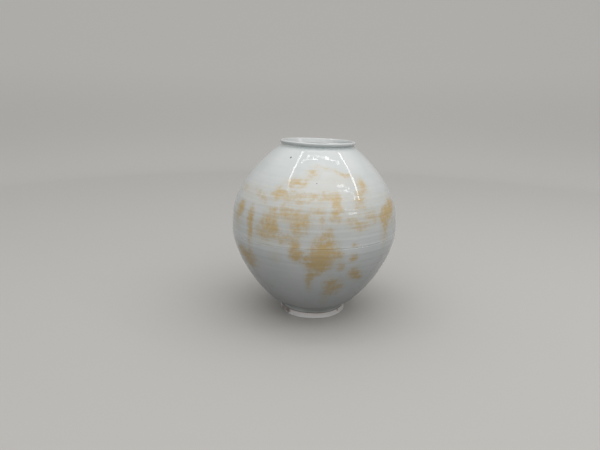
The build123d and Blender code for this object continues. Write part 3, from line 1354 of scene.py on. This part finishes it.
@dataclass(frozen=True)
class MouthCollar:
    """Low neck that flares out into a thin lip, and the slip under it."""

    kit: Dressing
    height: float = 10.0
    mouth_edge: float = 6.6
    outer_side: tuple[Point, ...] = ((1.6, -7.8), (3.0, -5.4), (3.6, -2.9), (1.9, -0.6), (-1.0, 0.0))
    inner_side: tuple[Point, ...] = ((-1.0, 0.0), (-3.0, -1.8), (-4.2, -4.6), (-5.3, -7.2))
    sway: tuple[Wave, ...] = ((0.22, 2, 2.0), (0.14, 5, 0.0))
    front_rise: float = 1.1
    fillet: float = 1.1

    def outline(self) -> np.ndarray:
        """Draws the collar's section, with sides measured from the neck and from the lip's top.

        Returns:
            Its outline, from the foot of its outside over the lip and back along its seat.
        """
        s = self.kit.sizes
        seat, top = (s.neck_radius, s.collar_seat), s.collar_seat + self.height
        outer = [(s.neck_radius + out, top + up) for out, up in self.outer_side]
        inner = [(s.neck_radius + out, top + up) for out, up in self.inner_side]
        edge = (s.neck_radius - self.mouth_edge, s.collar_seat)
        line = chain(
            drawn_curve([seat, *outer], (0.2, 1), (-1, 0), step=0.7),
            drawn_curve([*inner, edge], (-1, 0), (-1, -1.3), step=0.7),
            even_steps(np.array([edge, seat]), step=1.6),
        )
        return line[:-1]

    def leaning(self, outline: np.ndarray) -> np.ndarray:
        """Turns an outline and leans it, higher at the front, as the mouth is.

        Args:
            outline: rows of radius and rise above the seam.

        Returns:
            Rings of points in the jar's own place.
        """
        rings = self.kit.wall.lean(self.kit.wheel.turn(outline))
        angle = np.arctan2(rings[..., 1], rings[..., 0])
        lift = waves(angle, *self.sway, (-self.front_rise, 1, 0.0))
        lift = lift * soft_step(rings[..., 2], 438.0, 450.0)
        rings = np.concatenate([rings[..., :2], rings[..., 2:] + lift[..., None]], axis=-1)
        return self.kit.wall.shape(rings)

    def build(self, finish: bpy.types.Material) -> bpy.types.Object:
        """Makes the collar."""
        rings = self.leaning(self.outline())
        return self.kit.dress("mouth_collar", "glazed_porcelain", finish, rings, Closing.LOOP)

    def build_slip(self, finish: bpy.types.Material) -> bpy.types.Object:
        """Makes the slip under the collar."""
        rings = self.leaning(self.slip_outline())
        return self.kit.dress("collar_slip", "slip", finish, rings, Closing.LOOP)

    def slip_outline(self) -> np.ndarray:
        """Draws the section of the slip, with the glaze that gathers beside it.

        Returns:
            Its outline, from its underside by the fillet outside and its top to the mouth.
        """
        s = self.kit.sizes
        low, high, f = s.shoulder_rise, s.collar_seat, self.fillet
        edge = s.neck_radius
        corners = [
            (s.mouth_radius + 3, low, 0.0),
            (edge - 0.4, low - 0.3, 0.0),
            (edge + f + 0.5, low - 0.7 * f - 0.75, 0.0),
            (edge + f + 0.6, low - 0.7 * f - 0.25, 0.0),
            (edge + 0.1, (low + high) / 2, f),
            (edge + 0.75 * f, high + 1.15, 0.0),
            (edge - 0.2, high + 0.9, 0.0),
            (edge - 0.4, high, 0.0),
            (edge - self.mouth_edge, high, 0.1),
            (edge - self.mouth_edge - 0.6, low, 0.1),
            (s.mouth_radius + 3, low, 0.0),
        ]
        return rounded_line(corners, step=0.45)[:-1]


# Stage, light and camera


@dataclass(frozen=True)
class PaleStage:
    """Plain pale floor that sweeps up into a wall all round, like a photographer's cove."""

    colour: str = "#c6c4c0"
    bounce: str = "#403f3d"
    glow: float = 0.62
    floor_radius: float = 2000.0
    wall_radius: float = 3400.0
    wall_height: float = 2400.0
    sweep: float = 900.0
    wall_paint: float = 0.2
    roughness: float = 0.85
    shine: float = 0.2
    segments: int = 128

    def finish(self, name: str, glow: float) -> bpy.types.Material:
        """Matt paint, pale to the eye and in the gloss, and duller in the light that it gives back.

        Args:
            name: the material's name.
            glow: how bright it is by itself above the sweep, where 1 is white.

        Returns:
            The new material.
        """
        made, nodes, shader, where = new_finish(name)
        rays = add(nodes.tree, "ShaderNodeLightPath").outputs
        seen = nodes.math("MAXIMUM", rays["Is Camera Ray"], rays["Is Glossy Ray"])
        seen = nodes.math("MAXIMUM", seen, rays["Is Transmission Ray"])
        # up the sweep the paint hands over to an even light behind it
        height, top = nodes.axes(where)["Z"], self.sweep * MM
        painted = nodes.ramp(height, 0.0, top, low=1.0, high=self.wall_paint if glow else 1.0)
        colour = nodes.mix(nodes.math("MULTIPLY", seen, painted), self.bounce, self.colour)
        strength = nodes.math("MULTIPLY", seen, nodes.ramp(height, 0.0, top, high=glow))
        nodes.tree.links.new(colour, shader.inputs["Base Color"])
        nodes.tree.links.new(strength, shader.inputs["Emission Strength"])
        shader.inputs["Emission Color"].default_value = linear(self.colour)
        shader.inputs["Roughness"].default_value = self.roughness
        shader.inputs["Specular IOR Level"].default_value = self.shine
        return made

    def place(self, name: str, line: np.ndarray, closing: Closing, glow: float) -> bpy.types.Object:
        """Makes a painted piece of the stage.

        Args:
            name: its name.
            line: rows of radius and height, in millimetres.
            closing: how its rings close.
            glow: how bright it is by itself above the sweep, where 1 is white.

        Returns:
            The new piece.
        """
        wheel = Wheel(self.segments)
        piece = wheel.mesh(name, wheel.turn(line), closing)
        piece.data.materials.append(self.finish(f"{name}_paint", glow))
        return piece

    def build(self) -> None:
        """Makes the floor and the wall."""
        turn, foot = np.radians(np.linspace(-90, 0, 61)), self.wall_radius - self.sweep
        bend = np.column_stack([foot + self.sweep * np.cos(turn), self.sweep + self.sweep * np.sin(turn)])
        flat = np.array([(self.floor_radius, 0.0), (foot, 0.0)])
        top = np.array([(self.wall_radius, self.wall_height)])
        line = chain(flat, even_steps(bend, step=60.0), top)[::-1]
        self.place("stage_floor", np.array([(self.floor_radius, 0.0), (1.0, 0.0)]), Closing.DISC, 0.0)
        wall = self.place("stage_wall", line, Closing.SHEET, self.glow)
        wall.visible_diffuse = False
        wall.visible_shadow = False
        log.info("stage: floor and wall")


@dataclass(frozen=True)
class LampLine:
    """Tube lamps in a row, in millimetres; a glow of 1 is a white card in full light."""

    name: str
    run: tuple[Spot, ...]
    width: float
    glow: float
    aim: Spot = (0.0, 0.0, 300.0)

    def build(self) -> None:
        """Hangs the lamps end to end, facing the jar."""
        for number, ends in enumerate(zip(self.run, self.run[1:])):
            start, end = (Vector(spot) * MM for spot in ends)
            middle, along = (start + end) / 2, end - start
            x = along.normalized()
            away = (middle - Vector(self.aim) * MM).normalized()
            z = (away - x * away.dot(x)).normalized()
            lamp = bpy.data.lights.new(f"{self.name}_{number}", "AREA")
            lamp.shape = "RECTANGLE"
            lamp.size, lamp.size_y = along.length, self.width * MM
            lamp.energy = self.glow * pi * along.length * self.width * MM
            hung = bpy.data.objects.new(lamp.name, lamp)
            turned = Matrix((x, z.cross(x), z)).transposed().to_4x4()
            hung.matrix_world = Matrix.Translation(middle) @ turned
            hung.visible_camera = False
            bpy.context.scene.collection.objects.link(hung)


@dataclass(frozen=True)
class StudioLight:
    """Soft light from all round, most of it from above and in front, and tube lamps on the ceiling."""

    zenith: float = 0.83
    horizon: float = 0.68
    sides: float = 0.02
    below: float = 0.10
    front: float = 0.14
    front_span: Span = (-0.25, -0.95)
    sky_span: Span = (0.26, 0.72)
    ground_span: Span = (-0.2, 0.0)
    lamps: tuple[LampLine, ...] = (
        LampLine("soft_ceiling", ((-900, -1300, 2620), (2100, -1300, 2620)), 2300, 0.42),
        LampLine(
            "left_row",
            ((-667, 422, 2600), (-900, -20, 2600), (-1148, -336, 2600), (-1410, -708, 2600)),
            85,
            6.0,
        ),
        LampLine("left_row_end", ((-1410, -708, 2600), (-1690, -1290, 2600)), 100, 1.8),
        LampLine(
            "right_row",
            ((1195, 779, 2600), (1437, 523, 2600), (1763, 338, 2600), (2082, 115, 2600)),
            95,
            6.0,
        ),
        LampLine(
            "right_row_end", ((2082, 115, 2600), (2581, -283, 2600), (3393, -896, 2600)), 130, 7.0
        ),
        LampLine(
            "cross_row",
            ((-400, 56, 2600), (290, 0, 2600), (863, 54, 2600), (1250, 150, 2600)),
            60,
            3.5,
        ),
        LampLine("cross_row_knot", ((450, 40, 2590), (680, 75, 2590)), 110, 5.0),
        LampLine("cross_row_start", ((-430, 70, 2590), (-300, 45, 2590)), 100, 4.0),
        LampLine("cross_row_end", ((740, 85, 2590), (863, 60, 2590), (1060, 85, 2590)), 70, 4.5),
        LampLine("second_row", ((-700, -100, 2600), (-400, -105, 2600), (100, -105, 2600)), 60, 8.0),
        LampLine("neck_row", ((-598, 408, 2600), (193, 260, 2600), (1018, 730, 2600)), 60, 1.8),
        LampLine(
            "front_row",
            ((1280, -1052, 2600), (1551, -887, 2600), (2199, -820, 2600), (3179, -1104, 2600)),
            110,
            4.5,
        ),
        LampLine("far_lamp", ((1975, -1845, 1950), (2130, -1805, 1775)), 130, 10.0),
        LampLine(
            "far_row",
            ((2196, -1877, 1593), (2419, -1634, 1513), (2584, -1313, 1542), (2660, -1082, 1588)),
            130,
            4.0,
        ),
    )

    def build(self) -> None:
        """Lights the scene."""
        world = bpy.data.worlds.new("studio")
        world.use_nodes = True
        nodes, ground = Nodes(world.node_tree), world.node_tree.nodes["Background"]
        way = nodes.axes(add(nodes.tree, "ShaderNodeTexCoord").outputs["Generated"])
        # the horizon is dark at both sides and behind, so the jar's edges stand out from the wall
        level = nodes.ramp(way["Y"], *self.front_span, self.sides, self.horizon)
        above = nodes.ramp(way["Z"], *self.sky_span, level, self.zenith)
        under = nodes.ramp(way["Z"], *self.ground_span, self.below, level, soft=False)
        glow = nodes.blend(nodes.math("GREATER_THAN", way["Z"], 0.0), under, above)
        facing = nodes.ramp(way["Y"], -1.0, 1.0, 1 + self.front, 1 - self.front, soft=False)
        nodes.tree.links.new(nodes.math("MULTIPLY", glow, facing), ground.inputs["Strength"])
        ground.inputs["Color"].default_value = (1.0, 1.0, 1.0, 1.0)
        bpy.context.scene.world = world
        for lamp in self.lamps:
            lamp.build()
        log.info("light: sky and %d rows of lamps", len(self.lamps))


@dataclass(frozen=True)
class Viewpoint:
    """Where the picture is taken from, in millimetres and degrees."""

    place: Spot = (0.0, -1251.9, 552.2)
    heading: float = 1.68
    dip: float = 14.52
    roll: float = 0.83
    lens: float = 29.29
    sensor: float = 36.0

    def build(self) -> None:
        """Sets up the camera."""
        data = bpy.data.cameras.new("front_camera")
        data.sensor_width = self.sensor
        data.lens = self.lens
        camera = bpy.data.objects.new("front_camera", data)
        camera.matrix_world = (
            Matrix.Translation(Vector(self.place) * MM)
            @ Matrix.Rotation(radians(self.heading), 4, "Z")
            @ Matrix.Rotation(radians(90 - self.dip), 4, "X")
            @ Matrix.Rotation(radians(self.roll), 4, "Z")
        )
        bpy.context.scene.collection.objects.link(camera)
        bpy.context.scene.camera = camera


def main() -> None:
    """Builds the jar, its stage and its light."""
    logging.basicConfig(level=logging.INFO, format="%(name)s %(message)s")
    sizes = JarSizes()
    kit = Dressing(Wheel(320), sizes, ThrownWall(sizes))
    glaze = MilkyGlaze().material()
    seam_glaze = MilkyGlaze(name="slip", coat="#e6e9e6", pooled="#e0e4e1").material()

    # the chip and the grain in the foot need closer points
    FootRing(Dressing(Wheel(400), sizes, kit.wall)).build(WipedFoot().material())
    FootJoin(kit).build(seam_glaze)
    LowerBowl(kit).build(glaze)
    BellySeam(kit).build(seam_glaze)
    UpperBowl(kit).build(glaze)
    collar = MouthCollar(kit)
    collar.build_slip(seam_glaze)
    collar.build(glaze)

    PaleStage().build()
    StudioLight().build()
    Viewpoint().build()
    bpy.context.scene.view_settings.view_transform = "Standard"


if __name__ == "__main__":
    main()
